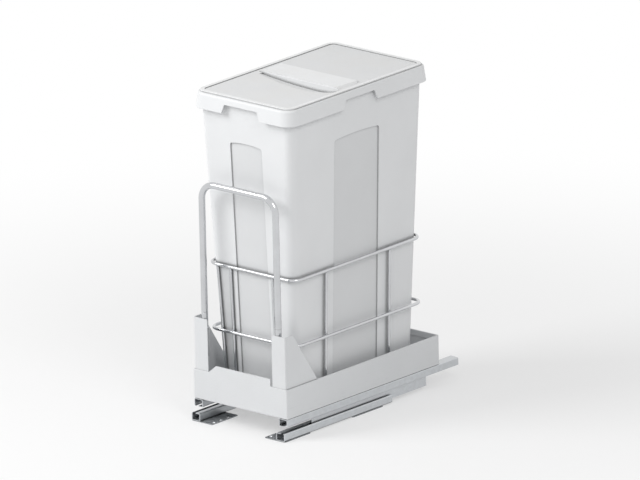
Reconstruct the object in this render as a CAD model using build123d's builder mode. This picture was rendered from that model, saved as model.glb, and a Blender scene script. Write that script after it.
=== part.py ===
import os
from math import atan, cos

from build123d import *

# Overall sizes in mm. X is the width, Y the depth with the front at negative Y, Z is up.
TOTAL_WIDTH = 235.0
TOTAL_DEPTH = 472.0
TOTAL_HEIGHT = 608.0
HALF_WIDTH = TOTAL_WIDTH / 2
FRONT_Y = -TOTAL_DEPTH / 2
REAR_Y = TOTAL_DEPTH / 2
BOTTOM = (Align.CENTER, Align.CENTER, Align.MIN)

# Clearances
PIN_PLAY = 0.05
BALL_PLAY = 0.07
CAGE_PLAY = 0.7
RIB_PLAY = 0.5
SHEET_EDGE_PLAY = 0.6

# Tray outline
TRAY_T = 1.2
TRAY_SIDE_GAP = 7.7
TRAY_FRONT_GAP = 8.0
TRAY_REAR_GAP = 52.0
TRAY_HALF_W = HALF_WIDTH - TRAY_SIDE_GAP
TRAY_FRONT_Y = FRONT_Y + TRAY_FRONT_GAP
TRAY_REAR_Y = REAR_Y - TRAY_REAR_GAP
TRAY_MID_Y = (TRAY_FRONT_Y + TRAY_REAR_Y) / 2

# Slide rails
PLATE_T = 1.5
RAIL_W = 19.4
RAIL_H = 14.4
RAIL_T = 1.4
RAIL_BEND_R = 2.0
RAIL_GAP = 9.7
RAIL_X = TRAY_HALF_W - SHEET_EDGE_PLAY - RAIL_W / 2
FIXED_FRONT_Y = FRONT_Y
FIXED_L = 291.0
FIXED_REAR_Y = FIXED_FRONT_Y + FIXED_L
MOVING_FRONT_Y = TRAY_FRONT_Y
MOVING_REAR_Y = REAR_Y
FIXED_BASE_Z = PLATE_T
MOVING_BASE_Z = FIXED_BASE_Z + RAIL_H + RAIL_GAP
SLIDE_MID_Z = FIXED_BASE_Z + RAIL_H + RAIL_GAP / 2
TRAY_BASE_Z = MOVING_BASE_Z + RAIL_H
TRAY_FLOOR_Z = TRAY_BASE_Z + TRAY_T
OUTER_LIP_W = 2.5
SLOT_W = 6.7
SLOT_X = RAIL_X + RAIL_W / 2 - OUTER_LIP_W - SLOT_W / 2

# Balls, grooves and ball cages
BALL_R = 2.38
BALL_OFFSET = 3.0
BALL_X = RAIL_X - BALL_OFFSET
GROOVE_R = BALL_R + BALL_PLAY
GROOVE_DEPTH = 0.4
LOW_ROW_Z = FIXED_BASE_Z + RAIL_T - GROOVE_DEPTH + GROOVE_R
HIGH_ROW_Z = FIXED_BASE_Z + RAIL_H - RAIL_T + GROOVE_DEPTH - GROOVE_R
LOWER_ROWS = (LOW_ROW_Z, HIGH_ROW_Z)
UPPER_ROWS = (2 * SLIDE_MID_Z - HIGH_ROW_Z, 2 * SLIDE_MID_Z - LOW_ROW_Z)
CAGE_T = 0.8
CAGE_FLANGE = 4.0
LOWER_CAGE_L = 165.0
LOWER_CAGE_REAR_GAP = 15.0
UPPER_CAGE_L = 174.0
UPPER_CAGE_REAR_GAP = 28.0
BALLS_PER_ROW = 3

# Intermediate member
INTER_L = 309.0
INTER_REAR_GAP = 83.0
INTER_REAR_Y = REAR_Y - INTER_REAR_GAP
WEB_T = 1.7
HEAD_NOSE = 3.3
HEAD_NOSE_R = 1.2
HEAD_BASE_Z = LOW_ROW_Z + GROOVE_R - GROOVE_DEPTH
HEAD_TOP_Z = HIGH_ROW_Z - GROOVE_R + GROOVE_DEPTH
HEAD_INNER_X = BALL_X - HEAD_NOSE
CAGE_INNER_X = HEAD_INNER_X - CAGE_PLAY - CAGE_T
LOWER_CAGE_REAR_Y = FIXED_REAR_Y - LOWER_CAGE_REAR_GAP
UPPER_CAGE_REAR_Y = INTER_REAR_Y - UPPER_CAGE_REAR_GAP

# Mounting plates
PLATE_W = 48.3
PLATE_CORNER_R = 2.5
PLATE_OUTER_X = TRAY_HALF_W
FRONT_PLATE_L = 70.0
REAR_PLATE_L = 81.0
REAR_PLATE_GAP = 25.0
FRONT_PLATE_Y = (FIXED_FRONT_Y, FIXED_FRONT_Y + FRONT_PLATE_L)
REAR_PLATE_Y = (FIXED_REAR_Y - REAR_PLATE_GAP - REAR_PLATE_L, FIXED_REAR_Y - REAR_PLATE_GAP)
PLATE_HOLE_INSET = 5.5
PLATE_HOLE_X = PLATE_OUTER_X - PLATE_W + PLATE_HOLE_INSET
PLATE_HOLE_R = 2.5
PLATE_SINK_R = 3.6
PLATE_HOLE_STEPS = (10.0, 28.0)
PLATE_SLOT_STEP = 49.0
PLATE_SLOT_L = 10.0

# Rivets between plate and fixed rail, set beside the ball cage
RIVET_R = 2.0
RIVET_HEAD_R = 3.0
RIVET_HEAD_H = 1.1
RIVET_INSET = 15.0
RIVET_X = BALL_X + CAGE_FLANGE + CAGE_PLAY + RIVET_HEAD_R

# Tray walls
TRAY_WALL_H = 55.0
TRAY_TOP_Z = TRAY_BASE_Z + TRAY_WALL_H
TRAY_BEND_R = 2.0
HEM_H = 11.0
HEM_R = 1.0
FRONT_WALL_RISE = 14.0
FRONT_WALL_TOP_Z = TRAY_TOP_Z + FRONT_WALL_RISE

# Tray screws, set beside the balls
SCREW_R = 1.9
SCREW_HEAD_R = 3.5
SCREW_HEAD_H = 2.2
SCREW_HEAD_CHAMFER = 0.7
SCREW_TAIL = 1.1
SCREW_X = BALL_X + GROOVE_R + CAGE_PLAY + SCREW_R
TRAY_SCREW_SHARES = (0.408, 0.699, 0.954)
BRACKET_SCREW_STEPS = (23.0, 63.0)
TRAY_L = TRAY_REAR_Y - TRAY_FRONT_Y
TRAY_SCREW_Y = tuple(TRAY_FRONT_Y + share * TRAY_L for share in TRAY_SCREW_SHARES)
BRACKET_SCREW_Y = tuple(TRAY_FRONT_Y + step for step in BRACKET_SCREW_STEPS)

# Front brackets
BRACKET_T = 1.2
BRACKET_W = 31.9
BRACKET_OUTER_X = TRAY_HALF_W - 2 * TRAY_T
BRACKET_INNER_X = BRACKET_OUTER_X - BRACKET_W
BRACKET_FRONT_Y = TRAY_FRONT_Y + TRAY_T
BRACKET_REAR_Y = BRACKET_FRONT_Y + BRACKET_T
BRACKET_H = 150.3
BRACKET_TOP_Z = TRAY_FLOOR_Z + BRACKET_H
BRACKET_CORNER_R = 4.0
FLANGE_TOP_W = 21.8
FLANGE_TOP_Y = BRACKET_FRONT_Y + FLANGE_TOP_W
FLANGE_CORNER_R = 8.0
FLANGE_SLOPE = 0.646
FLANGE_HEEL_Z = TRAY_TOP_Z - HEM_H
FLANGE_HEEL_Y = FLANGE_TOP_Y + (BRACKET_TOP_Z - FLANGE_HEEL_Z) * FLANGE_SLOPE
FOOT_W = 10.0
FOOT_MARGIN = 12.0
FOOT_Y = (BRACKET_SCREW_Y[0] - FOOT_MARGIN, BRACKET_SCREW_Y[1] + FOOT_MARGIN)

# Raised middle of the front wall, between the brackets
FRONT_RAMP_GAP = 2.2
FRONT_RAMP_L = 17.1
FRONT_STEP_GAP = 4.0
FRONT_STEP_R = 2.5
FRONT_RAMP_FOOT_X = FRONT_RAMP_GAP - BRACKET_INNER_X
FRONT_RAMP_HEAD_X = FRONT_RAMP_FOOT_X + FRONT_RAMP_L
FRONT_STEP_X = BRACKET_INNER_X - FRONT_STEP_GAP

# Handle and its sockets
TUBE_R = 6.0
TUBE_T = 1.2
HANDLE_INSET = 23.2
HANDLE_X = TRAY_HALF_W - HANDLE_INSET
SOCKET_FLAT = 0.4
HANDLE_Y = BRACKET_REAR_Y + TUBE_R - SOCKET_FLAT
HANDLE_TOP_Z = 441.0
HANDLE_BEND_R = 29.0
SOCKET_RISE = 11.5
SOCKET_L = 83.0
SEAM_Z = BRACKET_TOP_Z + SOCKET_RISE
SOCKET_BASE_Z = SEAM_Z - SOCKET_L
SPIGOT_L = 25.0
SEAM_CHAMFER = 0.5

# Bin and lid heights, counted down from the top of the grip plate
GRIP_RISE = 3.0
LID_FIELD_T = 1.6
LID_BORDER_T = 2.8
SKIRT_H = 28.9
PANEL_DROP = 81.4
LID_FIELD_Z = TOTAL_HEIGHT - GRIP_RISE
RIM_TOP_Z = LID_FIELD_Z - LID_FIELD_T
SKIRT_BASE_Z = RIM_TOP_Z - SKIRT_H

# Bin
BIN_SIDE_INSET = 31.5
BIN_END_INSET = 47.2
BIN_SHIFT_Y = 2.7
BIN_MID_Y = TRAY_MID_Y + BIN_SHIFT_Y
BIN_BASE_Z = TRAY_FLOOR_Z
BIN_HALF_W = HALF_WIDTH - BIN_SIDE_INSET
BIN_HALF_L = TRAY_L / 2 - BIN_END_INSET
BIN_DRAFT = 0.0402
BIN_CORNER_R = 17.5
BIN_WALL = 2.4
BIN_FLOOR_T = 3.0
BIN_BASE_R = 4.0
BIN_FOOT_W = 10.0
BIN_FOOT_H = 1.5
PANEL_DEPTH = 2.4
PANEL_BASE_H = 24.8
PANEL_BASE_Z = BIN_BASE_Z + PANEL_BASE_H
PANEL_TOP_Z = RIM_TOP_Z - PANEL_DROP
PANEL_ARCH = 3.0
PANEL_CORNER_R = 5.0
FRONT_PANEL_HALF = 36.8
SIDE_PANEL_HALF = 60.0

# Rim skirt
SKIRT_HALF_W = HALF_WIDTH
SKIRT_END_REACH = 32.8
SKIRT_HALF_L = BIN_HALF_L + SKIRT_END_REACH
SKIRT_CORNER_R = 26.0
SKIRT_LEAN = 0.096
SKIRT_WALL = 2.2
SHOULDER_R = 4.5
NOTCH_FOOT = 44.5
NOTCH_HEAD = 38.5
NOTCH_H = 16.5
NOTCH_R = 4.0

# Wire basket around the bin
RING_R = 3.0
UPRIGHT_R = 2.5
RING_SIDE_GAP = 16.0
RING_END_GAP = 13.2
RING_HALF_W = BIN_HALF_W + RING_SIDE_GAP
RING_HALF_L = BIN_HALF_L + RING_END_GAP
RING_CORNER_R = 20.0
UPPER_RING_Z = 285.0
LOWER_RING_Z = 164.0
UPRIGHT_FRONT_INSET = 53.0
UPRIGHT_SIDE_INSET = 86.7
UPRIGHT_CORNER_INSET = 27.7
UPRIGHT_FRONT_X = RING_HALF_W - UPRIGHT_FRONT_INSET
UPRIGHT_SIDE_Y = RING_HALF_L - UPRIGHT_SIDE_INSET
UPRIGHT_CORNER_X = RING_HALF_W - UPRIGHT_CORNER_INSET

# Lid
LID_INSET = 8.0
LID_BORDER_INSET = 16.0
LID_BORDER_Z = RIM_TOP_Z + LID_BORDER_T
LID_EDGE_R = 0.8
LID_GROOVE_W = 1.6
LID_GROOVE_DEPTH = 0.6
LID_RIB_H = 9.0
LID_RIB_T = 2.0
GRIP_SIDE_INSET = 29.5
GRIP_HALF_W = HALF_WIDTH - GRIP_SIDE_INSET
GRIP_BEVEL = 6.0
GRIP_L = 55.0
GRIP_SHIFT_Y = 22.3
GRIP_REAR_Y = BIN_MID_Y + GRIP_SHIFT_Y
GRIP_FRONT_Y = GRIP_REAR_Y - GRIP_L
GRIP_CORNER_R = 8.0

# Finger scoop: how far its edge lies in front of the grip, at shares of its width
SCOOP_LEFT_INSET = 33.5
SCOOP_RIGHT_INSET = 19.0
SCOOP_LEFT_X = SCOOP_LEFT_INSET - HALF_WIDTH
SCOOP_RIGHT_X = HALF_WIDTH - SCOOP_RIGHT_INSET
SCOOP_EDGE = ((0.0, 10.0), (0.27, 27.0), (0.53, 37.0), (0.76, 39.6), (0.89, 33.0), (1.0, 18.0))
SCOOP_FALL = 0.3
SCOOP_REACH = 45.0
SCOOP_SKIN = 3.0


def save(block, name):
    """Label a finished block and write its file."""
    block.part.label = name
    export_step(block.part, f"parts/{name}.step")


def save_pair(block, name):
    """Write a right-hand piece and its mirror image on the left."""
    save(block, f"{name}_right")
    with BuildPart() as twin:
        mirror(block.part, about=Plane.YZ)
    save(twin, f"{name}_left")


def channel_section(base_z, slot_z, rows):
    """Draw a rail section: a channel with a slot near its outer wall and two ball grooves."""
    with Locations((RAIL_X, base_z + RAIL_H / 2)):
        RectangleRounded(RAIL_W, RAIL_H, RAIL_BEND_R)
        inner_size = (RAIL_W - 2 * RAIL_T, RAIL_H - 2 * RAIL_T)
        RectangleRounded(*inner_size, RAIL_BEND_R - RAIL_T, mode=Mode.SUBTRACT)
    with Locations((SLOT_X, slot_z)):
        Rectangle(SLOT_W, 2 * RAIL_T, mode=Mode.SUBTRACT)
    with Locations(*[(BALL_X, z) for z in rows]):
        Circle(GROOVE_R, mode=Mode.SUBTRACT)


def plate_rivet_places():
    """List the Y positions of the rivets, two in each mounting plate."""
    places = []
    for front_y, rear_y in (FRONT_PLATE_Y, REAR_PLATE_Y):
        places.append(front_y + RIVET_INSET)
        places.append(rear_y - RIVET_INSET)
    return places


def make_fixed_rails():
    """Fixed rails, screwed to the cupboard floor through the plates."""
    with BuildPart() as fixed_rail:
        with BuildSketch(Plane.XZ.offset(-FIXED_REAR_Y)):
            slot_z = FIXED_BASE_Z + RAIL_H - RAIL_T / 2
            channel_section(FIXED_BASE_Z, slot_z, LOWER_ROWS)
        extrude(amount=FIXED_L)
        with Locations(*[(RIVET_X, y, FIXED_BASE_Z) for y in plate_rivet_places()]):
            Cylinder(RIVET_R + PIN_PLAY, RAIL_T, align=BOTTOM, mode=Mode.SUBTRACT)
    save_pair(fixed_rail, "fixed_rail")


def make_moving_rails():
    """Moving rails under the tray, the fixed rail turned upside down and longer."""
    with BuildPart() as moving_rail:
        with BuildSketch(Plane.XZ.offset(-MOVING_REAR_Y)):
            channel_section(MOVING_BASE_Z, MOVING_BASE_Z + RAIL_T / 2, UPPER_ROWS)
        extrude(amount=MOVING_REAR_Y - MOVING_FRONT_Y)
        places = BRACKET_SCREW_Y + TRAY_SCREW_Y
        with Locations(*[(SCREW_X, y, TRAY_BASE_Z - RAIL_T) for y in places]):
            Cylinder(SCREW_R + PIN_PLAY, RAIL_T, align=BOTTOM, mode=Mode.SUBTRACT)
    save_pair(moving_rail, "moving_rail")


def make_intermediate_rails():
    """Intermediate members: a web with a folded head in each rail."""
    web_outer_x = SLOT_X + WEB_T / 2
    head_w = web_outer_x - HEAD_INNER_X
    head_t = HEAD_TOP_Z - HEAD_BASE_Z
    head_z = (HEAD_BASE_Z + HEAD_TOP_Z) / 2
    with BuildPart() as intermediate_rail:
        with BuildSketch(Plane.XZ.offset(-INTER_REAR_Y)) as section:
            with Locations((SLOT_X, SLIDE_MID_Z)):
                Rectangle(WEB_T, 2 * (SLIDE_MID_Z - HEAD_BASE_Z))
            head_x = (web_outer_x + HEAD_INNER_X) / 2
            with Locations((head_x, head_z), (head_x, 2 * SLIDE_MID_Z - head_z)):
                Rectangle(head_w, head_t)
            fillet(section.vertices().group_by(Axis.X)[0], HEAD_NOSE_R)
            with Locations(*[(BALL_X, z) for z in LOWER_ROWS + UPPER_ROWS]):
                Circle(GROOVE_R, mode=Mode.SUBTRACT)
        extrude(amount=INTER_L)
    save_pair(intermediate_rail, "intermediate_rail")


def ball_places(rear_y, length, rows):
    """List the ball centres of one cage, evenly spaced along its length."""
    pitch = length / BALLS_PER_ROW
    steps = [rear_y - (i + 0.5) * pitch for i in range(BALLS_PER_ROW)]
    return [(BALL_X, y, z) for y in steps for z in rows]


def make_ball_cage(rear_y, length, rows, name):
    """One ball cage: a bent strip with a pocket around each ball, and its balls."""
    low_z, high_z = rows
    flange_x = BALL_X + CAGE_FLANGE
    outer_h = high_z - low_z + CAGE_T
    mid_z = (low_z + high_z) / 2
    with BuildPart() as cage:
        with BuildSketch(Plane.XZ.offset(-rear_y)):
            with Locations(((CAGE_INNER_X + flange_x) / 2, mid_z)):
                Rectangle(flange_x - CAGE_INNER_X, outer_h)
            with Locations(((CAGE_INNER_X + flange_x) / 2 + CAGE_T, mid_z)):
                inner_h = outer_h - 2 * CAGE_T
                Rectangle(flange_x - CAGE_INNER_X, inner_h, mode=Mode.SUBTRACT)
        extrude(amount=length)
        with Locations(*ball_places(rear_y, length, rows)):
            Cylinder(GROOVE_R, 2 * CAGE_T, mode=Mode.SUBTRACT)
    save_pair(cage, f"{name}_ball_cage")
    with BuildPart() as balls:
        with Locations(*ball_places(rear_y, length, rows)):
            Sphere(BALL_R)
    save_pair(balls, f"{name}_balls")


def make_mounting_plate(span, name):
    """One mounting plate with two countersunk holes, a slot and two rivet holes."""
    front_y, rear_y = span
    with BuildPart() as plate:
        with BuildSketch():
            with Locations((PLATE_OUTER_X - PLATE_W / 2, (front_y + rear_y) / 2)):
                RectangleRounded(PLATE_W, rear_y - front_y, PLATE_CORNER_R)
            with Locations((PLATE_HOLE_X, front_y + PLATE_SLOT_STEP)):
                SlotOverall(PLATE_SLOT_L, 2 * PLATE_HOLE_R, rotation=90, mode=Mode.SUBTRACT)
            with Locations((RIVET_X, front_y + RIVET_INSET), (RIVET_X, rear_y - RIVET_INSET)):
                Circle(RIVET_R + PIN_PLAY, mode=Mode.SUBTRACT)
        extrude(amount=PLATE_T)
        with Locations(*[(PLATE_HOLE_X, front_y + step, PLATE_T) for step in PLATE_HOLE_STEPS]):
            CounterSinkHole(PLATE_HOLE_R, PLATE_SINK_R)
    save_pair(plate, name)


def make_rivets():
    """Rivets between the plates and the fixed rails, with flat heads inside the rail."""
    seat_z = FIXED_BASE_Z + RAIL_T
    with BuildPart() as rivets:
        with Locations(*[(RIVET_X, y, 0) for y in plate_rivet_places()]):
            Cylinder(RIVET_R, seat_z, align=BOTTOM)
        with Locations(*[(RIVET_X, y, seat_z) for y in plate_rivet_places()]):
            Cylinder(RIVET_HEAD_R, RIVET_HEAD_H, align=BOTTOM)
    save_pair(rivets, "plate_rivets")


def make_screws(places, seat_z, name):
    """Screws with low round heads, from the tray into the moving rails."""
    shank_h = seat_z - TRAY_BASE_Z + RAIL_T + SCREW_TAIL
    with BuildPart() as screws:
        with Locations(*[(SCREW_X, y, seat_z - shank_h) for y in places]):
            Cylinder(SCREW_R, shank_h, align=BOTTOM)
        with Locations(*[(SCREW_X, y, seat_z) for y in places]):
            Cylinder(SCREW_HEAD_R, SCREW_HEAD_H, align=BOTTOM)
        chamfer(screws.edges().group_by(Axis.Z)[-1], SCREW_HEAD_CHAMFER)
    save_pair(screws, name)


def make_tray():
    """Sheet tray with hemmed side and rear walls and a raised front wall."""
    inner_half_w = TRAY_HALF_W - TRAY_T
    inner_front_y = TRAY_FRONT_Y + TRAY_T
    inner_rear_y = TRAY_REAR_Y - TRAY_T
    over = 2 * FRONT_WALL_TOP_Z - TRAY_TOP_Z
    with BuildPart() as tray:
        with BuildSketch(Plane.XY.offset(TRAY_BASE_Z)):
            with Locations((0, TRAY_MID_Y)):
                RectangleRounded(2 * TRAY_HALF_W, TRAY_REAR_Y - TRAY_FRONT_Y, TRAY_BEND_R)
        extrude(amount=FRONT_WALL_TOP_Z - TRAY_BASE_Z)
        fillet(tray.edges().group_by(Axis.Z)[0], TRAY_BEND_R)
        offset(amount=-TRAY_T, openings=tray.faces().sort_by(Axis.Z)[-1])
        with BuildSketch(Plane.XY.offset(TRAY_TOP_Z)):
            with Locations((0, inner_front_y)):
                span = (2 * TRAY_HALF_W, TRAY_REAR_Y - inner_front_y)
                Rectangle(*span, align=(Align.CENTER, Align.MIN))
        extrude(amount=FRONT_WALL_TOP_Z - TRAY_TOP_Z, mode=Mode.SUBTRACT)
        with BuildSketch(Plane.XZ.offset(-inner_front_y)) as front_cut:
            low_left = (-TRAY_HALF_W, TRAY_TOP_Z)
            ramp = ((FRONT_RAMP_FOOT_X, TRAY_TOP_Z), (FRONT_RAMP_HEAD_X, FRONT_WALL_TOP_Z))
            lid_left = ((FRONT_RAMP_HEAD_X, over), (-TRAY_HALF_W, over))
            Polygon(low_left, *ramp, *lid_left, align=None)
            step = ((FRONT_STEP_X, over), (FRONT_STEP_X, TRAY_TOP_Z))
            Polygon(*step, (TRAY_HALF_W, TRAY_TOP_Z), (TRAY_HALF_W, over), align=None)
            corner = front_cut.vertices().sort_by_distance((FRONT_STEP_X, TRAY_TOP_Z, 0))[0]
            fillet(corner, FRONT_STEP_R)
        extrude(amount=TRAY_T, mode=Mode.SUBTRACT)
        with BuildSketch(Plane.XY.offset(TRAY_TOP_Z - HEM_H)):
            hem_y = (inner_rear_y + inner_front_y) / 2
            hem_l = inner_rear_y - inner_front_y
            with Locations((0, hem_y)):
                Rectangle(2 * inner_half_w, hem_l)
            with Locations((0, hem_y - TRAY_T / 2)):
                Rectangle(2 * (inner_half_w - TRAY_T), hem_l - TRAY_T, mode=Mode.SUBTRACT)
        extrude(amount=HEM_H)
        rim = tray.edges().filter_by_position(Axis.Z, TRAY_TOP_Z, TRAY_TOP_Z)
        fillet(rim.filter_by_position(Axis.Y, TRAY_MID_Y, TRAY_REAR_Y), HEM_R)
        places = BRACKET_SCREW_Y + TRAY_SCREW_Y
        with Locations(*[(side * SCREW_X, y, TRAY_BASE_Z) for side in (-1, 1) for y in places]):
            Cylinder(SCREW_R + PIN_PLAY, TRAY_T, align=BOTTOM, mode=Mode.SUBTRACT)
    save(tray, "tray")


def make_brackets():
    """Bent front brackets: a face behind the front wall, a slanted side flange and a foot."""
    flange_inner_x = BRACKET_OUTER_X - BRACKET_T
    base_z = TRAY_FLOOR_Z + TRAY_BEND_R - TRAY_T
    with BuildPart() as bracket:
        with BuildSketch(Plane.XY.offset(base_z)) as plan:
            face = ((BRACKET_INNER_X, BRACKET_FRONT_Y), (BRACKET_OUTER_X, BRACKET_FRONT_Y))
            flange = ((BRACKET_OUTER_X, FLANGE_HEEL_Y), (flange_inner_x, FLANGE_HEEL_Y))
            back = ((flange_inner_x, BRACKET_REAR_Y), (BRACKET_INNER_X, BRACKET_REAR_Y))
            Polygon(*face, *flange, *back, align=None)
            corner = (BRACKET_OUTER_X, BRACKET_FRONT_Y, 0)
            fillet(plan.vertices().sort_by_distance(corner)[0], 2 * BRACKET_T)
            corner = (flange_inner_x, BRACKET_REAR_Y, 0)
            fillet(plan.vertices().sort_by_distance(corner)[0], BRACKET_T)
        extrude(amount=BRACKET_TOP_Z - base_z)
        with BuildSketch(Plane.YZ.offset(BRACKET_INNER_X)) as side:
            head = ((BRACKET_FRONT_Y, BRACKET_TOP_Z), (FLANGE_TOP_Y, BRACKET_TOP_Z))
            heel = ((FLANGE_HEEL_Y, FLANGE_HEEL_Z), (FLANGE_HEEL_Y, TRAY_FLOOR_Z))
            Polygon(*head, *heel, (BRACKET_FRONT_Y, TRAY_FLOOR_Z), align=None)
            corner = (FLANGE_TOP_Y, BRACKET_TOP_Z, 0)
            fillet(side.vertices().sort_by_distance(corner)[0], FLANGE_CORNER_R)
        extrude(amount=BRACKET_W, mode=Mode.INTERSECT)
        with BuildSketch(Plane.XZ.offset(-FLANGE_HEEL_Y)) as front:
            with Locations((BRACKET_OUTER_X, TRAY_FLOOR_Z)):
                Rectangle(BRACKET_W, BRACKET_H, align=(Align.MAX, Align.MIN))
            corner = (BRACKET_INNER_X, BRACKET_TOP_Z, 0)
            fillet(front.vertices().sort_by_distance(corner)[0], BRACKET_CORNER_R)
        extrude(amount=FLANGE_HEEL_Y - BRACKET_FRONT_Y, mode=Mode.INTERSECT)
        with BuildSketch(Plane.XY.offset(TRAY_FLOOR_Z)):
            with Locations((BRACKET_OUTER_X, FOOT_Y[0])):
                foot_size = (FOOT_W + BRACKET_T, FOOT_Y[1] - FOOT_Y[0])
                Rectangle(*foot_size, align=(Align.MAX, Align.MIN))
            with Locations(*[(SCREW_X, y) for y in BRACKET_SCREW_Y]):
                Circle(SCREW_R + PIN_PLAY, mode=Mode.SUBTRACT)
        extrude(amount=BRACKET_T)
    save_pair(bracket, "bracket")


def make_handle():
    """Bent tube handle and the two sockets that carry it behind the brackets."""
    with BuildPart() as handle_tube:
        with BuildLine(Plane.XZ.offset(-HANDLE_Y)):
            left = ((-HANDLE_X, SEAM_Z), (-HANDLE_X, HANDLE_TOP_Z))
            right = ((HANDLE_X, HANDLE_TOP_Z), (HANDLE_X, SEAM_Z))
            FilletPolyline(*left, *right, radius=HANDLE_BEND_R)
        with BuildSketch(Plane.XY.offset(SEAM_Z)):
            with Locations((-HANDLE_X, HANDLE_Y)):
                Circle(TUBE_R)
                Circle(TUBE_R - TUBE_T, mode=Mode.SUBTRACT)
        sweep()
        tube_ends = handle_tube.edges().filter_by_position(Axis.Z, SEAM_Z, SEAM_Z)
        chamfer(tube_ends.sort_by(SortBy.RADIUS)[-2:], SEAM_CHAMFER)
    save(handle_tube, "handle_tube")
    with BuildPart() as handle_socket:
        with Locations((HANDLE_X, HANDLE_Y, SOCKET_BASE_Z)):
            Cylinder(TUBE_R, SOCKET_L, align=BOTTOM)
            Cylinder(TUBE_R - TUBE_T - PIN_PLAY, SOCKET_L + SPIGOT_L, align=BOTTOM)
        with BuildSketch(Plane.XY.offset(SOCKET_BASE_Z)):
            with Locations((HANDLE_X, BRACKET_REAR_Y)):
                Rectangle(2 * TUBE_R, TUBE_R, align=(Align.CENTER, Align.MAX))
        extrude(amount=BRACKET_TOP_Z - SOCKET_BASE_Z, mode=Mode.SUBTRACT)
        seam = handle_socket.edges().filter_by_position(Axis.Z, SEAM_Z, SEAM_Z)
        chamfer(seam.sort_by(SortBy.RADIUS)[-1:], SEAM_CHAMFER)
    save_pair(handle_socket, "handle_socket")


def make_ring(ring_z, name):
    """One closed wire ring with rounded corners around the bin."""
    with BuildSketch(Plane.XY.offset(ring_z)) as outline:
        with Locations((0, BIN_MID_Y)):
            RectangleRounded(2 * RING_HALF_W, 2 * RING_HALF_L, RING_CORNER_R)
    path = outline.sketch.face().outer_wire()
    with BuildPart() as ring:
        with BuildSketch(Plane(origin=path @ 0, z_dir=path % 0)):
            Circle(RING_R)
        sweep(path=path)
    save(ring, name)


def make_upright(side, offset_xy, name, lean_x=0):
    """One wire upright that leans with the bin from the tray floor to the upper ring."""
    step = (RING_R + UPRIGHT_R) / cos(atan(BIN_DRAFT))
    reach = RING_HALF_W if side[0] else RING_HALF_L
    drop = (LOWER_RING_Z - TRAY_FLOOR_Z) * BIN_DRAFT
    foot = reach - step - drop
    foot_x = side[0] * foot + offset_xy[0]
    foot_y = BIN_MID_Y + side[1] * foot + offset_xy[1]
    lean = Vector((side[0] + lean_x) * BIN_DRAFT, side[1] * BIN_DRAFT, 1)
    origin = Vector(foot_x, foot_y, TRAY_FLOOR_Z) - lean * UPRIGHT_R
    with BuildPart() as upright:
        with BuildSketch(Plane(origin=origin, z_dir=lean)):
            Circle(UPRIGHT_R)
        extrude(amount=UPPER_RING_Z - TRAY_FLOOR_Z)
        with BuildSketch(Plane.XY.offset(TRAY_FLOOR_Z)):
            with Locations((foot_x, foot_y)):
                Rectangle(RING_CORNER_R * 2, RING_CORNER_R * 2)
        extrude(amount=UPPER_RING_Z - RING_R - TRAY_FLOOR_Z, mode=Mode.INTERSECT)
    save(upright, name)


def make_wire_basket():
    """Both rings, the eight uprights and the wire along the front left corner."""
    make_ring(UPPER_RING_Z, "upper_ring")
    make_ring(LOWER_RING_Z, "lower_ring")
    ends = {"front": -1, "rear": 1}
    sides = {"left": -1, "right": 1}
    for end_name, end in ends.items():
        for side_name, side in sides.items():
            place = (side * UPRIGHT_FRONT_X, 0)
            make_upright((0, end), place, f"upright_{end_name}_{side_name}")
            place = (0, end * UPRIGHT_SIDE_Y)
            make_upright((side, 0), place, f"upright_{side_name}_{end_name}")
    foot_x = UPRIGHT_CORNER_X - (LOWER_RING_Z - TRAY_FLOOR_Z) * BIN_DRAFT
    make_upright((0, ends["front"]), (-foot_x, 0), "upright_corner", lean_x=-1)


def bin_outline(height, inset):
    """Return the rounded outline of the bin at a height, moved inwards by an inset."""
    grow = (height - BIN_BASE_Z) * BIN_DRAFT - inset
    with BuildSketch(Plane.XY.offset(height)) as outline:
        with Locations((0, BIN_MID_Y)):
            outline_size = (2 * (BIN_HALF_W + grow), 2 * (BIN_HALF_L + grow))
            RectangleRounded(*outline_size, BIN_CORNER_R - inset)
    return outline.sketch.face()


def rim_outline(height, inset):
    """Return the rounded outline of the rim skirt at a height, moved inwards by an inset."""
    shrink = (height - SKIRT_BASE_Z) * SKIRT_LEAN + inset
    with BuildSketch(Plane.XY.offset(height)) as outline:
        with Locations((0, BIN_MID_Y)):
            outline_size = (2 * (SKIRT_HALF_W - shrink), 2 * (SKIRT_HALF_L - shrink))
            RectangleRounded(*outline_size, SKIRT_CORNER_R - inset)
    return outline.sketch.face()


def notch_outline(plane, mid):
    """Return the trapezoid notch of the skirt, drawn on an upright plane."""
    top_z = SKIRT_BASE_Z + NOTCH_H
    foot = ((mid - NOTCH_FOOT, SKIRT_BASE_Z), (mid + NOTCH_FOOT, SKIRT_BASE_Z))
    head = ((mid + NOTCH_HEAD, top_z), (mid - NOTCH_HEAD, top_z))
    with BuildSketch(plane) as outline:
        with BuildLine():
            FilletPolyline(foot[0], head[1], head[0], foot[1], radius=NOTCH_R)
            Line(foot[0], foot[1])
        make_face()
    return outline.sketch


def panel_outline(plane, half, base_v, top_v):
    """Return a wall panel with an arched top and rounded top corners."""
    shoulder_v = top_v - PANEL_ARCH
    with BuildSketch(plane) as outline:
        with BuildLine():
            Line((-half, base_v), (half, base_v))
            Line((half, base_v), (half, shoulder_v))
            ThreePointArc((half, shoulder_v), (0, top_v), (-half, shoulder_v))
            Line((-half, shoulder_v), (-half, base_v))
        make_face()
        fillet(outline.vertices().group_by(Axis.Y)[-1], PANEL_CORNER_R)
    return outline.sketch


def wall_plane(side):
    """Return the plane of the leaning bin wall on one side, with its second axis upwards."""
    origin = (side[0] * BIN_HALF_W, BIN_MID_Y + side[1] * BIN_HALF_L, BIN_BASE_Z)
    return Plane(origin=origin, x_dir=(-side[1], side[0], 0), z_dir=(*side, -BIN_DRAFT))


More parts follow.
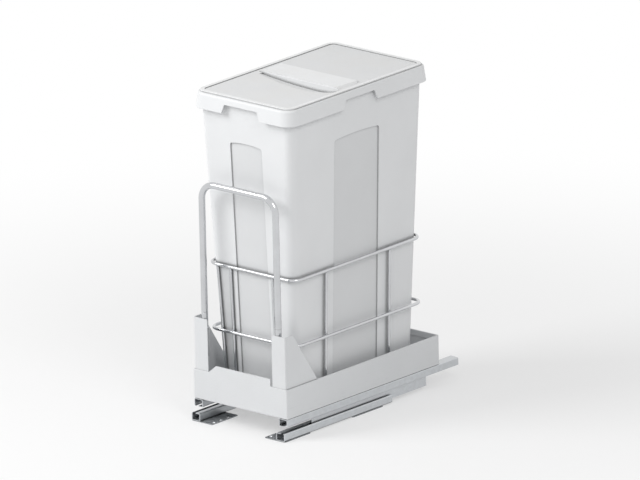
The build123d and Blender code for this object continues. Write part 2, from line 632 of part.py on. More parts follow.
def make_bin():
    """Tapered bin with recessed panels and a foot rim under its base."""
    slant = cos(atan(BIN_DRAFT))
    with BuildPart() as bin_body:
        loft([bin_outline(BIN_BASE_Z, 0), bin_outline(RIM_TOP_Z, 0)])
        fillet(bin_body.edges().group_by(Axis.Z)[0], BIN_BASE_R)
        floor_z = BIN_BASE_Z + BIN_FOOT_H + BIN_FLOOR_T
        cavity = [bin_outline(z, BIN_WALL) for z in (floor_z, RIM_TOP_Z)]
        loft(cavity, mode=Mode.SUBTRACT)
        under = bin_outline(BIN_BASE_Z, BIN_FOOT_W)
        extrude(under, amount=BIN_FOOT_H, mode=Mode.SUBTRACT)
        base_v = (PANEL_BASE_Z - BIN_BASE_Z) / slant
        top_v = (PANEL_TOP_Z - BIN_BASE_Z) / slant
        halves = {(1, 0): SIDE_PANEL_HALF, (-1, 0): SIDE_PANEL_HALF}
        halves.update({(0, 1): FRONT_PANEL_HALF, (0, -1): FRONT_PANEL_HALF})
        for side, half in halves.items():
            plane = wall_plane(side)
            wide = (half + BIN_WALL, base_v - BIN_WALL, top_v + BIN_WALL)
            pad_t = BIN_WALL * slant / 2
            pad = panel_outline(plane.offset(-pad_t), *wide)
            extrude(pad, amount=-pad_t - PANEL_DEPTH)
            recess = panel_outline(plane, half, base_v, top_v)
            extrude(recess, amount=-PANEL_DEPTH, mode=Mode.SUBTRACT)
    save(bin_body, "bin")


def make_bin_rim():
    """Rim moulded around the top of the bin: a leaning skirt with a notch in each side."""
    with BuildPart() as rim:
        loft([rim_outline(SKIRT_BASE_Z, 0), rim_outline(RIM_TOP_Z, 0)])
        fillet(rim.edges().group_by(Axis.Z)[-1], SHOULDER_R)
        inner_top_z = RIM_TOP_Z - SKIRT_WALL
        inner = [rim_outline(z, SKIRT_WALL) for z in (SKIRT_BASE_Z, inner_top_z)]
        loft(inner, mode=Mode.SUBTRACT)
        side_notch = notch_outline(Plane.YZ, BIN_MID_Y)
        extrude(side_notch, amount=TOTAL_WIDTH, both=True, mode=Mode.SUBTRACT)
        end_notch = notch_outline(Plane.XZ, 0)
        extrude(end_notch, amount=TOTAL_DEPTH, both=True, mode=Mode.SUBTRACT)
        loft([bin_outline(z, 0) for z in (BIN_BASE_Z, RIM_TOP_Z)], mode=Mode.SUBTRACT)
    save(rim, "bin_rim")


def lid_outline(height, inset):
    """Return the rounded outline of the lid at a height, inset from the lower rim outline."""
    with BuildSketch(Plane.XY.offset(height)) as outline:
        with Locations((0, BIN_MID_Y)):
            outline_size = (2 * (SKIRT_HALF_W - inset), 2 * (SKIRT_HALF_L - inset))
            RectangleRounded(*outline_size, SKIRT_CORNER_R - inset)
    return outline.sketch


def scoop_tool(height, grow):
    """Return the slanted crescent solid of the scoop, cut off at the front of the grip."""
    fall = Vector(0, 1, -SCOOP_FALL).normalized()
    left_x = SCOOP_LEFT_X - grow
    width = SCOOP_RIGHT_X + grow - left_x
    arc = [(left_x + share * width, GRIP_FRONT_Y - reach - grow) for share, reach in SCOOP_EDGE]
    with BuildPart() as tool:
        with BuildSketch(Plane.XY.offset(height)):
            with BuildLine():
                crescent = Spline(*arc)
                left = (left_x, GRIP_FRONT_Y + grow)
                right = (left_x + width, GRIP_FRONT_Y + grow)
                Polyline(crescent @ 0, left, right, crescent @ 1)
            make_face()
        extrude(amount=SCOOP_REACH, dir=fall)
        with BuildSketch(Plane.XY.offset(height)):
            with Locations((0, GRIP_FRONT_Y + grow)):
                Rectangle(TOTAL_WIDTH, SCOOP_REACH * 3, align=(Align.CENTER, Align.MIN))
        extrude(amount=-SCOOP_REACH, mode=Mode.SUBTRACT)
    return tool.part


def grip_plate():
    """Return the raised grip plate with bevelled ends and rounded rear corners."""
    grip_foot = GRIP_HALF_W + GRIP_BEVEL
    with BuildPart() as grip:
        with BuildSketch(Plane.XZ.offset(-GRIP_REAR_Y)):
            low = ((-grip_foot, LID_FIELD_Z), (grip_foot, LID_FIELD_Z))
            high = ((GRIP_HALF_W, TOTAL_HEIGHT), (-GRIP_HALF_W, TOTAL_HEIGHT))
            Polygon(*low, *high, align=None)
        extrude(amount=GRIP_L)
        with BuildSketch(Plane.XY.offset(LID_FIELD_Z)) as plan:
            with Locations((0, GRIP_FRONT_Y)):
                Rectangle(2 * grip_foot, GRIP_L, align=(Align.CENTER, Align.MIN))
            fillet(plan.vertices().group_by(Axis.Y)[-1], GRIP_CORNER_R)
        extrude(amount=TOTAL_HEIGHT - LID_FIELD_Z, mode=Mode.INTERSECT)
    return grip.part


def make_lid():
    """Lid with a raised border, a grip plate and a crescent finger scoop."""
    rib_w = BIN_HALF_W + (RIM_TOP_Z - LID_RIB_H - BIN_BASE_Z) * BIN_DRAFT
    rib_w = rib_w - BIN_WALL - RIB_PLAY
    rib_l = rib_w + BIN_HALF_L - BIN_HALF_W
    rib_r = BIN_CORNER_R - BIN_WALL
    with BuildPart() as lid:
        extrude(lid_outline(RIM_TOP_Z, LID_INSET), amount=LID_BORDER_Z - RIM_TOP_Z)
        fillet(lid.edges().group_by(Axis.Z)[-1], LID_EDGE_R)
        field = lid_outline(LID_FIELD_Z, LID_BORDER_INSET)
        extrude(field, amount=LID_BORDER_Z - LID_FIELD_Z, mode=Mode.SUBTRACT)
        groove = lid_outline(LID_FIELD_Z - LID_GROOVE_DEPTH, LID_BORDER_INSET)
        extrude(groove, amount=LID_GROOVE_DEPTH, mode=Mode.SUBTRACT)
        island = lid_outline(LID_FIELD_Z - LID_GROOVE_DEPTH, LID_BORDER_INSET + LID_GROOVE_W)
        extrude(island, amount=LID_GROOVE_DEPTH)
        with BuildSketch(Plane.XY.offset(RIM_TOP_Z - LID_RIB_H)):
            with Locations((0, BIN_MID_Y)):
                RectangleRounded(2 * rib_w, 2 * rib_l, rib_r)
                inner_size = (2 * (rib_w - LID_RIB_T), 2 * (rib_l - LID_RIB_T))
                RectangleRounded(*inner_size, rib_r - LID_RIB_T, mode=Mode.SUBTRACT)
        extrude(amount=LID_RIB_H)
        add(scoop_tool(RIM_TOP_Z, SCOOP_SKIN))
        add(grip_plate())
        add(scoop_tool(LID_FIELD_Z, 0), mode=Mode.SUBTRACT)
    save(lid, "lid")


os.makedirs("parts", exist_ok=True)
make_fixed_rails()
make_moving_rails()
make_intermediate_rails()
make_ball_cage(LOWER_CAGE_REAR_Y, LOWER_CAGE_L, LOWER_ROWS, "lower")
make_ball_cage(UPPER_CAGE_REAR_Y, UPPER_CAGE_L, UPPER_ROWS, "upper")
make_mounting_plate(FRONT_PLATE_Y, "front_plate")
make_mounting_plate(REAR_PLATE_Y, "rear_plate")
make_rivets()
make_screws(TRAY_SCREW_Y, TRAY_FLOOR_Z, "tray_screws")
make_screws(BRACKET_SCREW_Y, TRAY_FLOOR_Z + BRACKET_T, "bracket_screws")
make_tray()
make_brackets()
make_handle()
make_wire_basket()
make_bin()
make_bin_rim()
make_lid()
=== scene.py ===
"""Built-in waste bin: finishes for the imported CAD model, its welds, its screws and a studio."""
import math
from collections import namedtuple

import bpy
import numpy as np
from bpy.props import FloatProperty, FloatVectorProperty, IntProperty, PointerProperty
from mathutils import Matrix, Vector


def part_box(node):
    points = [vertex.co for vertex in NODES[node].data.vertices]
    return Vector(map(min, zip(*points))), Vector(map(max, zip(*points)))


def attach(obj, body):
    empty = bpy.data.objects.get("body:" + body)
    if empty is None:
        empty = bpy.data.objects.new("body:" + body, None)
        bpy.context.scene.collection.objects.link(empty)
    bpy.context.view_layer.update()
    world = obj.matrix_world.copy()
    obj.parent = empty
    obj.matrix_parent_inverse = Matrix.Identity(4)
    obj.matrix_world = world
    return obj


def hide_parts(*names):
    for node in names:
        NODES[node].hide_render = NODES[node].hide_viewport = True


bl_info = {
    "name": "Built-in waste bin",
    "version": (1, 0, 0),
    "blender": (4, 5, 0),
    "location": "View3D > Sidebar > Waste bin",
    "description": "Finishes, weld beads and studio for a pull-out waste bin",
    "category": "Object",
}

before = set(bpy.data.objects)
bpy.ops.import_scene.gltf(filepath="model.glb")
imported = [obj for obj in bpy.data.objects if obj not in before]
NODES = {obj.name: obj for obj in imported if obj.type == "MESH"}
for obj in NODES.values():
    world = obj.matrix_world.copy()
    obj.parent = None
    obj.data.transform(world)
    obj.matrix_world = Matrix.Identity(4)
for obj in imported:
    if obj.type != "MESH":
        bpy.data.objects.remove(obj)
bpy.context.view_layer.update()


# ---------------------------------------------------------------- sizes and colours


def colour_setting(name, description, default):
    """A linear RGB colour a user can change."""
    return FloatVectorProperty(
        name=name, description=description, default=default,
        size=3, min=0.0, max=1.0, subtype="COLOR",
    )


def length_setting(name, description, default):
    """A length in metres a user can change."""
    return FloatProperty(
        name=name, description=description, default=default,
        min=0.0, unit="LENGTH", precision=5,
    )


def place_setting(name, description, default):
    """A place or a shift in metres a user can change."""
    return FloatVectorProperty(
        name=name, description=description, default=default,
        size=len(default), unit="LENGTH",
    )


def share_setting(name, description, default):
    """A share between 0 and 1 a user can change."""
    return FloatProperty(
        name=name, description=description, default=default,
        min=0.0, max=1.0, subtype="FACTOR",
    )


def power_setting(name, description, default):
    """The power of a lamp in watts a user can change."""
    return FloatProperty(
        name=name, description=description, default=default, min=0.0, unit="POWER"
    )


def angle_setting(name, description, degrees):
    """An angle a user can change, given here in degrees."""
    return FloatProperty(
        name=name, description=description, default=math.radians(degrees), subtype="ANGLE"
    )


def count_setting(name, description, default, fewest, most):
    """A whole number a user can change."""
    return IntProperty(name=name, description=description, default=default, min=fewest, max=most)


class StageSettings(bpy.types.PropertyGroup):
    """Floor, lamps and camera."""

    floor_colour: colour_setting("Floor", "Colour of the floor near the bin", (0.93, 0.93, 0.93))
    floor_reach: length_setting("Floor reach", "Half the width of the floor", 60.0)
    fade_start: length_setting(
        "Fade start", "Distance from the bin at which the floor starts to turn white", 0.35
    )
    fade_end: length_setting(
        "Fade end", "Distance from the bin at which the floor is plain white", 1.6
    )
    floor_white: share_setting(
        "Floor white", "How far the floor beside the bin is already turned to white", 0.45
    )
    sky_strength: share_setting("Sky", "Even light from all round", 0.5)
    key_power: power_setting("Key lamp", "Power of the large lamp at the front left", 40.0)
    key_size: length_setting("Key size", "Width of the large lamp", 1.3)
    key_place: place_setting("Key place", "Place of the large lamp", (-1.25, -1.85, 2.0))
    fill_power: power_setting("Fill lamp", "Power of the lamp at the right", 17.0)
    fill_size: length_setting("Fill size", "Width of the lamp at the right", 1.1)
    fill_place: place_setting("Fill place", "Place of the lamp at the right", (2.1, -0.9, 2.3))
    lamp_aim: place_setting("Lamp aim", "Point that both lamps look at", (0.0, 0.0, 0.3))
    azimuth: angle_setting("Azimuth", "Turn of the view round the bin", 41.43)
    elevation: angle_setting("Elevation", "Height of the view above the horizon", 17.10)
    roll: angle_setting("Roll", "Lean of the picture", -1.363)
    focal_length: FloatProperty(
        name="Lens", default=1200.0, min=50.0, max=1280.0,
        description="Focal length in mm, long because the drawing has no vanishing points",
    )
    picture_width: length_setting(
        "Picture width", "Width that the picture covers at the bin", 1.13556
    )
    target: place_setting(
        "Target", "Point at the middle of the picture before the shift", (0.0, 0.0, 0.304)
    )
    target_shift: place_setting(
        "Target shift", "Shift of the target across and up the picture", (-0.00321, -0.00687)
    )


class FinishSettings(bpy.types.PropertyGroup):
    """Colours and wear of the surfaces."""

    bin_colour: colour_setting("Bin", "Moulded plastic of the bin", (0.80, 0.81, 0.82))
    lid_colour: colour_setting("Lid", "Moulded plastic of the lid", (0.84, 0.848, 0.855))
    paint_colour: colour_setting(
        "Powder coat", "Paint of the tray and brackets", (0.73, 0.742, 0.755)
    )
    chrome_colour: colour_setting(
        "Chrome", "Plating of the handle and wires", (0.60, 0.61, 0.625)
    )
    zinc_colour: colour_setting("Zinc", "Plating of the rails and plates", (0.62, 0.64, 0.66))
    steel_colour: colour_setting(
        "Steel", "Bare steel of cages, balls and screws", (0.52, 0.53, 0.55)
    )
    dust: share_setting("Dust", "Fine dust on faces that look up", 0.25)
    rubbing: share_setting("Rubbing", "Rub marks low on the parts", 0.35)
    rub_height: length_setting("Rub height", "How far up the bin the rub marks reach", 0.12)
    # Painted shade in creases: how dark it is and how far it reaches.
    crease: share_setting("Creases", "Shade that gathers in narrow creases", 0.75)
    crease_shade_reach: length_setting(
        "Crease reach", "How far from a corner the shade gathers", 0.007
    )
    edge_wear: share_setting("Edge wear", "Wear along the raised edges", 0.6)
    edge_reach: length_setting("Edge reach", "How wide the worn strip along an edge is", 0.0009)
    panel_tone: share_setting(
        "Panel tone", "How much darker the etched panels are than the polished wall", 0.10
    )
    end_panel: length_setting(
        "End panel", "Half the width of the panels in the two ends", 0.0375
    )
    side_panel: length_setting(
        "Side panel", "Half the width of the panels in the two sides", 0.0607
    )
    panel_near: length_setting("Panel near", "Least depth that counts as a panel", 0.0012)
    panel_far: length_setting("Panel far", "Greatest depth that counts as a panel", 0.0031)
    lid_field: length_setting(
        "Lid field", "How far below the grip plate the etched field of the lid begins", 0.0026
    )
    wall_lean: FloatProperty(
        name="Wall lean", default=0.0402,
        description="How far the bin wall leans out for each unit of height",
    )


class WeldSettings(bpy.types.PropertyGroup):
    """Welds of the wire basket and of the handle sockets."""

    wire_radius: length_setting("Upright radius", "Radius of the upright wires", 0.0025)
    cross_reach: length_setting(
        "Cross reach", "Half the spread of a weld where two wires cross", 0.0034
    )
    cross_depth: length_setting(
        "Cross depth", "Half the thickness of a weld where two wires cross", 0.0013
    )
    butt_reach: length_setting(
        "Butt reach", "Half the spread of a weld where a wire ends under a ring", 0.0031
    )
    butt_depth: length_setting(
        "Butt depth", "Half the height of a weld where a wire ends under a ring", 0.0018
    )
    collar_spread: length_setting(
        "Collar spread", "How far a weld round the foot of a wire spreads", 0.0019
    )
    collar_height: length_setting(
        "Collar height", "How far a weld climbs along the wire", 0.0024
    )
    stitch_length: length_setting(
        "Stitch length", "Length of one weld stitch beside a socket", 0.022
    )
    stitch_radius: length_setting("Stitch radius", "Half the width of a stitch", 0.00125)
    ripple_pitch: length_setting(
        "Ripple pitch", "Distance from one ripple of a stitch to the next", 0.0016
    )
    socket_side: length_setting(
        "Socket side", "Distance of a stitch from the middle of the socket", 0.0033
    )
    sheet: length_setting("Sheet", "Thickness of the bracket sheet", 0.0012)
    steps: count_setting("Steps", "Points round each weld", 24, 8, 64)


class ScrewSettings(bpy.types.PropertyGroup):
    """Screws between the tray, the brackets and the moving rails."""

    head_radius: length_setting("Head radius", "Radius of the screw head", 0.0035)
    head_height: length_setting("Head height", "Height of the whole screw head", 0.0022)
    rim_height: length_setting("Rim height", "Height of the straight rim of the head", 0.0009)
    shank_radius: length_setting("Shank radius", "Radius of the screw shank", 0.0019)
    point_height: length_setting(
        "Point height", "Height of the tapered end of the shank", 0.0006
    )
    recess_half: length_setting(
        "Recess half width", "Half the width of a bar of the cross recess", 0.00062
    )
    recess_reach: length_setting(
        "Recess reach", "Half the length of a bar of the cross recess", 0.0021
    )
    recess_depth: length_setting("Recess depth", "Depth of the cross recess", 0.0011)
    recess_ease: length_setting(
        "Recess ease", "Width over which the edge of the recess falls away", 0.00032
    )
    middle_share: share_setting(
        "Middle screw", "Place of the middle tray screw between the other two", 0.533
    )
    dome_rings: count_setting("Dome rings", "Rings over the dome of a head", 20, 6, 64)
    head_steps: count_setting("Head steps", "Points round a head", 48, 12, 128)


# ---------------------------------------------------------------- node helpers


VECTOR = "NodeSocketVector"
FLOAT = "NodeSocketFloat"
WHITE = (1.0, 1.0, 1.0, 1.0)


def add_node(tree, kind, values=None, **options):
    """Add a node to a tree, set its options, and fill its inputs with numbers or links."""
    made = tree.nodes.new(kind)
    for key, value in options.items():
        setattr(made, key, value)
    for key, value in (values or {}).items():
        if isinstance(value, bpy.types.NodeSocket):
            tree.links.new(value, made.inputs[key])
        else:
            made.inputs[key].default_value = value
    return made


def calc(tree, operation, first, second=0.0):
    """One step of arithmetic on two values."""
    return add_node(tree, "ShaderNodeMath", {0: first, 1: second}, operation=operation).outputs[0]


def times(tree, first, second):
    """The product of two values."""
    return calc(tree, "MULTIPLY", first, second)


def summed(tree, start, *terms):
    """A value plus each further value times its weight."""
    total = start
    for value, weight in terms:
        total = calc(tree, "ADD", total, times(tree, value, weight))
    return total


def rescale(tree, value, low, high, new_low=0.0, new_high=1.0):
    """Map a range of values smoothly onto another, held at its ends."""
    values = {0: value, 1: low, 2: high, 3: new_low, 4: new_high}
    made = add_node(
        tree, "ShaderNodeMapRange", values, clamp=True, interpolation_type="SMOOTHSTEP"
    )
    return made.outputs[0]


def falling(tree, value, low, high):
    """One below a range of values, nothing above it, and a smooth fall between."""
    return rescale(tree, value, low, high, new_low=1.0, new_high=0.0)


def axes_of(tree, vector):
    """The three numbers of a vector."""
    return add_node(tree, "ShaderNodeSeparateXYZ", {0: vector}).outputs


def vector_calc(tree, operation, first, second=None):
    """One step of arithmetic on vectors."""
    values = {0: first} if second is None else {0: first, 1: second}
    return add_node(tree, "ShaderNodeVectorMath", values, operation=operation)


def noise(tree, where, scale, detail, roughness, distortion=0.0):
    """Smooth noise between 0 and 1."""
    return add_node(tree, "ShaderNodeTexNoise", {
        "Vector": where, "Scale": scale, "Detail": detail,
        "Roughness": roughness, "Distortion": distortion,
    }).outputs[0]


def mix_colour(tree, share, first, second):
    """Blend two colours by a share."""
    made = add_node(tree, "ShaderNodeMix", {0: share, 6: first, 7: second}, data_type="RGBA")
    return made.outputs[2]


def rgba(colour, factor=1.0):
    """A colour with full alpha, made lighter or darker by a factor."""
    return tuple(min(1.0, part * factor) for part in colour) + (1.0,)


def drifting(tree, tone, colour, darkest, lightest):
    """A colour that drifts between two factors of its lightness."""
    return mix_colour(tree, tone, rgba(colour, darkest), rgba(colour, lightest))


def start_group(name, inputs, outputs):
    """Open a new node group with named inputs and outputs."""
    tree = bpy.data.node_groups.new(name, "ShaderNodeTree")
    for label, kind, default in inputs:
        socket = tree.interface.new_socket(label, in_out="INPUT", socket_type=kind)
        if default is not None:
            socket.default_value = default
    for label in outputs:
        tree.interface.new_socket(label, in_out="OUTPUT", socket_type=FLOAT)
    given = tree.nodes.new("NodeGroupInput").outputs
    result = tree.nodes.new("NodeGroupOutput").inputs
    return tree, given, result


def put_group(tree, name, values):
    """Place an effect group in a material with its own values."""
    return add_node(
        tree, "ShaderNodeGroup", values, node_tree=bpy.data.node_groups[name]
    ).outputs


# ---------------------------------------------------------------- shared effects


PIT_SCALE = 0.6     # pits for each hump of the grain
PIT_SHARE = 0.5     # height of the pits, as a share of the humps
CREASE_RAYS = 8     # rays that look for creases or edges at each point


def make_grain_group():
    """Grain of a mould or of powder coat: small pits and humps, and a slow drift of tone."""
    inputs = [("Vector", VECTOR, None), ("Grain", FLOAT, 900.0), ("Drift", FLOAT, 7.0)]
    tree, given, result = start_group("Grain", inputs, ("Height", "Tone"))
    where = given["Vector"]
    humps = noise(tree, where, scale=given["Grain"], detail=2.0, roughness=0.6)
    pit_scale = times(tree, given["Grain"], PIT_SCALE)
    pits = add_node(tree, "ShaderNodeTexVoronoi", {"Vector": where, "Scale": pit_scale})
    drift = noise(tree, where, scale=given["Drift"], detail=3.0, roughness=0.55)
    height = summed(tree, humps, (pits.outputs["Distance"], PIT_SHARE))
    tree.links.new(height, result["Height"])
    tree.links.new(rescale(tree, drift, low=0.3, high=0.7), result["Tone"])


def make_dust_group():
    """Fine dust: more where the surface looks up, in soft patches."""
    inputs = [("Vector", VECTOR, None), ("Normal", VECTOR, None), ("Amount", FLOAT, 0.3)]
    tree, given, result = start_group("Dust", inputs, ("Mask",))
    facing = rescale(tree, axes_of(tree, given["Normal"])[2], low=0.35, high=0.95)
    patches = noise(tree, given["Vector"], scale=16.0, detail=5.0, roughness=0.65)
    mask = times(tree, facing, rescale(tree, patches, low=0.38, high=0.68))
    tree.links.new(times(tree, mask, given["Amount"]), result["Mask"])


def make_rub_group():
    """Rub marks: thin streaks along one direction, kept to a band of heights."""
    inputs = [
        ("Vector", VECTOR, None), ("Stretch", VECTOR, (60.0, 60.0, 900.0)),
        ("Low", FLOAT, 0.0), ("High", FLOAT, 0.1), ("Amount", FLOAT, 0.3),
    ]
    tree, given, result = start_group("Rub marks", inputs, ("Mask",))
    stretched = vector_calc(tree, "MULTIPLY", given["Vector"], given["Stretch"]).outputs[0]
    streaks = noise(tree, stretched, scale=1.0, detail=4.0, roughness=0.6, distortion=0.4)
    height = axes_of(tree, given["Vector"])[2]
    band = falling(tree, height, low=given["Low"], high=given["High"])
    mask = times(tree, rescale(tree, streaks, low=0.58, high=0.72), band)
    tree.links.new(times(tree, mask, given["Amount"]), result["Mask"])


def make_rolled_group():
    """Rolled sheet: long fine lines along the rolling direction over plated crystals."""
    inputs = [
        ("Vector", VECTOR, None), ("Stretch", VECTOR, (1500.0, 12.0, 1500.0)),
        ("Crystal", FLOAT, 140.0),
    ]
    tree, given, result = start_group("Rolled plating", inputs, ("Lines", "Crystals"))
    stretched = vector_calc(tree, "MULTIPLY", given["Vector"], given["Stretch"]).outputs[0]
    cells = add_node(tree, "ShaderNodeTexVoronoi", {
        "Vector": given["Vector"], "Scale": given["Crystal"], "Randomness": 1.0,
    })
    tone = add_node(tree, "ShaderNodeSeparateColor", {0: cells.outputs["Color"]})
    lines = noise(tree, stretched, scale=1.0, detail=3.0, roughness=0.7)
    tree.links.new(lines, result["Lines"])
    tree.links.new(tone.outputs[0], result["Crystals"])


def make_panel_group():
    """Etched panels of the bin: where the surface lies a panel's depth behind the leaning wall."""
    inputs = [
        ("Vector", VECTOR, None), ("Centre", VECTOR, None),
        ("Half Width", FLOAT, 0.09), ("Half Length", FLOAT, 0.16), ("Lean", FLOAT, 0.04),
        ("Near", FLOAT, 0.001), ("Far", FLOAT, 0.0025),
        ("End Panel", FLOAT, 0.037), ("Side Panel", FLOAT, 0.06),
    ]
    tree, given, result = start_group("Panels", inputs, ("Mask",))
    moved = vector_calc(tree, "SUBTRACT", given["Vector"], given["Centre"]).outputs[0]
    size = axes_of(tree, vector_calc(tree, "ABSOLUTE", moved).outputs[0])
    grown = times(tree, axes_of(tree, moved)[2], given["Lean"])
    masks = []
    for half, across, along, reach in (
        ("Half Width", 0, 1, "Side Panel"), ("Half Length", 1, 0, "End Panel"),
    ):
        wall = calc(tree, "ADD", given[half], grown)
        depth = calc(tree, "SUBTRACT", wall, size[across])
        deep = calc(tree, "GREATER_THAN", depth, given["Near"])
        shallow = calc(tree, "LESS_THAN", depth, given["Far"])
        within = calc(tree, "LESS_THAN", size[along], given[reach])
        masks.append(times(tree, times(tree, deep, shallow), within))
    tree.links.new(calc(tree, "MAXIMUM", *masks), result["Mask"])


def make_crease_shade_group():
    """Painted crease shade: corners, gaps and feet of raised edges, where little open space is in
    sight, are marked for darkening as though shade fell there.
    """
    inputs = [("Reach", FLOAT, 0.007), ("Amount", FLOAT, 0.75)]
    tree, given, result = start_group("Creases", inputs, ("Mask",))
    hollow = add_node(
        tree, "ShaderNodeAmbientOcclusion", {"Distance": given["Reach"]}, samples=CREASE_RAYS
    )
    closed = falling(tree, hollow.outputs["AO"], low=0.35, high=0.95)
    tree.links.new(times(tree, closed, given["Amount"]), result["Mask"])


def make_edge_group():
    """Edge wear: a narrow strip along raised edges, found from within the material, in patches."""
    inputs = [("Vector", VECTOR, None), ("Reach", FLOAT, 0.0009), ("Amount", FLOAT, 0.5)]
    tree, given, result = start_group("Edge wear", inputs, ("Mask",))
    within = add_node(
        tree, "ShaderNodeAmbientOcclusion", {"Distance": given["Reach"]},
        samples=CREASE_RAYS, inside=True, only_local=True,
    )
    edge = falling(tree, within.outputs["AO"], low=0.5, high=0.95)
    patches = noise(tree, given["Vector"], scale=55.0, detail=5.0, roughness=0.6)
    worn = rescale(tree, patches, low=0.35, high=0.6, new_low=0.3)
    mask = times(tree, edge, worn)
    tree.links.new(times(tree, mask, given["Amount"]), result["Mask"])


# ---------------------------------------------------------------- materials


# What sets one kind of surface apart from another. Four roughnesses: of the clean surface (none
# where each finish has its own), and what a light tone, the fine lines and dust add to it (none
# where there are no lines). Then the colour of its dust, the factors that make rub marks, worn
# edges and the painted shade in creases darker or lighter than the clean surface (none leaves
# that mark out), and the strength and height in metres of its bump.
Look = namedtuple(
    "Look", "rough tone_rough line_rough dust_rough dust rub edge crease bump bump_height"
)

PLASTIC = Look(
    rough=0.38, tone_rough=0.06, line_rough=None, dust_rough=0.4,
    dust=(0.79, 0.775, 0.75, 1.0),
    rub=0.84, edge=0.62, crease=0.22, bump=0.4, bump_height=0.0003,
)
PAINT = Look(
    rough=0.33, tone_rough=0.07, line_rough=None, dust_rough=0.4,
    dust=(0.76, 0.745, 0.72, 1.0),
    rub=0.8, edge=0.5, crease=0.22, bump=0.45, bump_height=0.0005,
)
CHROME = Look(
    rough=0.05, tone_rough=0.04, line_rough=0.07, dust_rough=0.3,
    dust=(0.7, 0.69, 0.67, 1.0),
    rub=None, edge=None, crease=0.25, bump=0.03, bump_height=0.0001,
)
STEEL = Look(
    rough=None, tone_rough=0.08, line_rough=0.08, dust_rough=0.3,
    dust=(0.55, 0.54, 0.52, 1.0),
    rub=None, edge=1.3, crease=0.2, bump=0.15, bump_height=0.0001,
)

ETCHED_SCALE = 0.45     # grains of the etched plastic for each grain of the polished plastic
ETCHED_ROUGH = 0.16     # roughness that the etching adds
GREASE_SHARE = 0.35     # how far the haze of grease shows on steel


def start_material(name):
    """Open a material with a principled shader and object coordinates."""
    material = bpy.data.materials.new(name)
    material.use_nodes = True
    tree = material.node_tree
    shader = tree.nodes["Principled BSDF"]
    return material, tree, shader, tree.nodes.new("ShaderNodeTexCoord").outputs["Object"]


def finish_surface(tree, shader, where, colour, base, rough, height, look, settings):
    """Lay dust, worn edges and painted crease shade over a base, and link colour, roughness and
    bump.
    """
    normal = tree.nodes.new("ShaderNodeNewGeometry").outputs["Normal"]
    dust = put_group(tree, "Dust", {"Vector": where, "Normal": normal, "Amount": settings.dust})
    shown = mix_colour(tree, dust["Mask"], base, look.dust)
    if look.edge:
        wear = put_group(tree, "Edge wear", {
            "Vector": where, "Reach": settings.edge_reach, "Amount": settings.edge_wear,
        })
        shown = mix_colour(tree, wear["Mask"], shown, rgba(colour, look.edge))
    # Painted shade: creases, gaps and the feet of raised edges are darkened as though shade fell
    # there.
    creases = put_group(tree, "Creases", {
        "Reach": settings.crease_shade_reach, "Amount": settings.crease,
    })
    shown = mix_colour(tree, creases["Mask"], shown, rgba(colour, look.crease))
    bump = add_node(tree, "ShaderNodeBump", {
        "Height": height, "Strength": look.bump, "Distance": look.bump_height,
    })
    tree.links.new(shown, shader.inputs["Base Color"])
    tree.links.new(
        summed(tree, rough, (dust["Mask"], look.dust_rough)), shader.inputs["Roughness"]
    )
    tree.links.new(bump.outputs[0], shader.inputs["Normal"])


def moulded_plastic(name, colour, settings, grain, low, high, etched):
    """Moulded plastic: spark-eroded grain, a slow drift of tone and rub marks near the foot.

    etched works out the mask of the areas with a coarser, darker grain.
    """
    material, tree, shader, where = start_material(name)
    fine = put_group(tree, "Grain", {"Vector": where, "Grain": grain, "Drift": 6.0})
    coarse = put_group(tree, "Grain", {
        "Vector": where, "Grain": grain * ETCHED_SCALE, "Drift": 11.0,
    })
    rub = put_group(tree, "Rub marks", {
        "Vector": where, "Low": low, "High": high, "Amount": settings.rubbing,
    })
    mask = etched(tree, where)
    polished = drifting(tree, fine["Tone"], colour, darkest=0.975, lightest=1.015)
    darker = drifting(
        tree, coarse["Tone"], colour,
        darkest=0.99 - settings.panel_tone, lightest=1.01 - settings.panel_tone,
    )
    base = mix_colour(tree, mask, polished, darker)
    base = mix_colour(tree, rub["Mask"], base, rgba(colour, PLASTIC.rub))
    rough = summed(
        tree, PLASTIC.rough, (fine["Tone"], PLASTIC.tone_rough), (mask, ETCHED_ROUGH)
    )
    height = summed(tree, fine["Height"], (coarse["Height"], mask))
    finish_surface(tree, shader, where, colour, base, rough, height, PLASTIC, settings)
    shader.inputs["Subsurface Weight"].default_value = 0.05
    shader.inputs["Subsurface Radius"].default_value = (0.004, 0.004, 0.004)
    shader.inputs["Specular IOR Level"].default_value = 0.45
    return material


def powder_coat(name, colour, settings, low, high):
    """Powder coat on sheet steel: soft orange peel, faint speckle, rub marks along the slide."""
    material, tree, shader, where = start_material(name)
    peel = put_group(tree, "Grain", {"Vector": where, "Grain": 420.0, "Drift": 9.0})
    rub = put_group(tree, "Rub marks", {
        "Vector": where, "Stretch": (500.0, 30.0, 500.0),
        "Low": low, "High": high, "Amount": settings.rubbing,
    })
    specks = noise(tree, where, scale=1800.0, detail=1.0, roughness=0.5)
    specks = rescale(tree, specks, low=0.62, high=0.72, new_high=0.25)
    base = drifting(tree, peel["Tone"], colour, darkest=0.98, lightest=1.01)
    base = mix_colour(tree, specks, base, rgba(colour, factor=0.88))
    base = mix_colour(tree, rub["Mask"], base, rgba(colour, PAINT.rub))
    rough = summed(tree, PAINT.rough, (peel["Tone"], PAINT.tone_rough))
    finish_surface(tree, shader, where, colour, base, rough, peel["Height"], PAINT, settings)
    return material


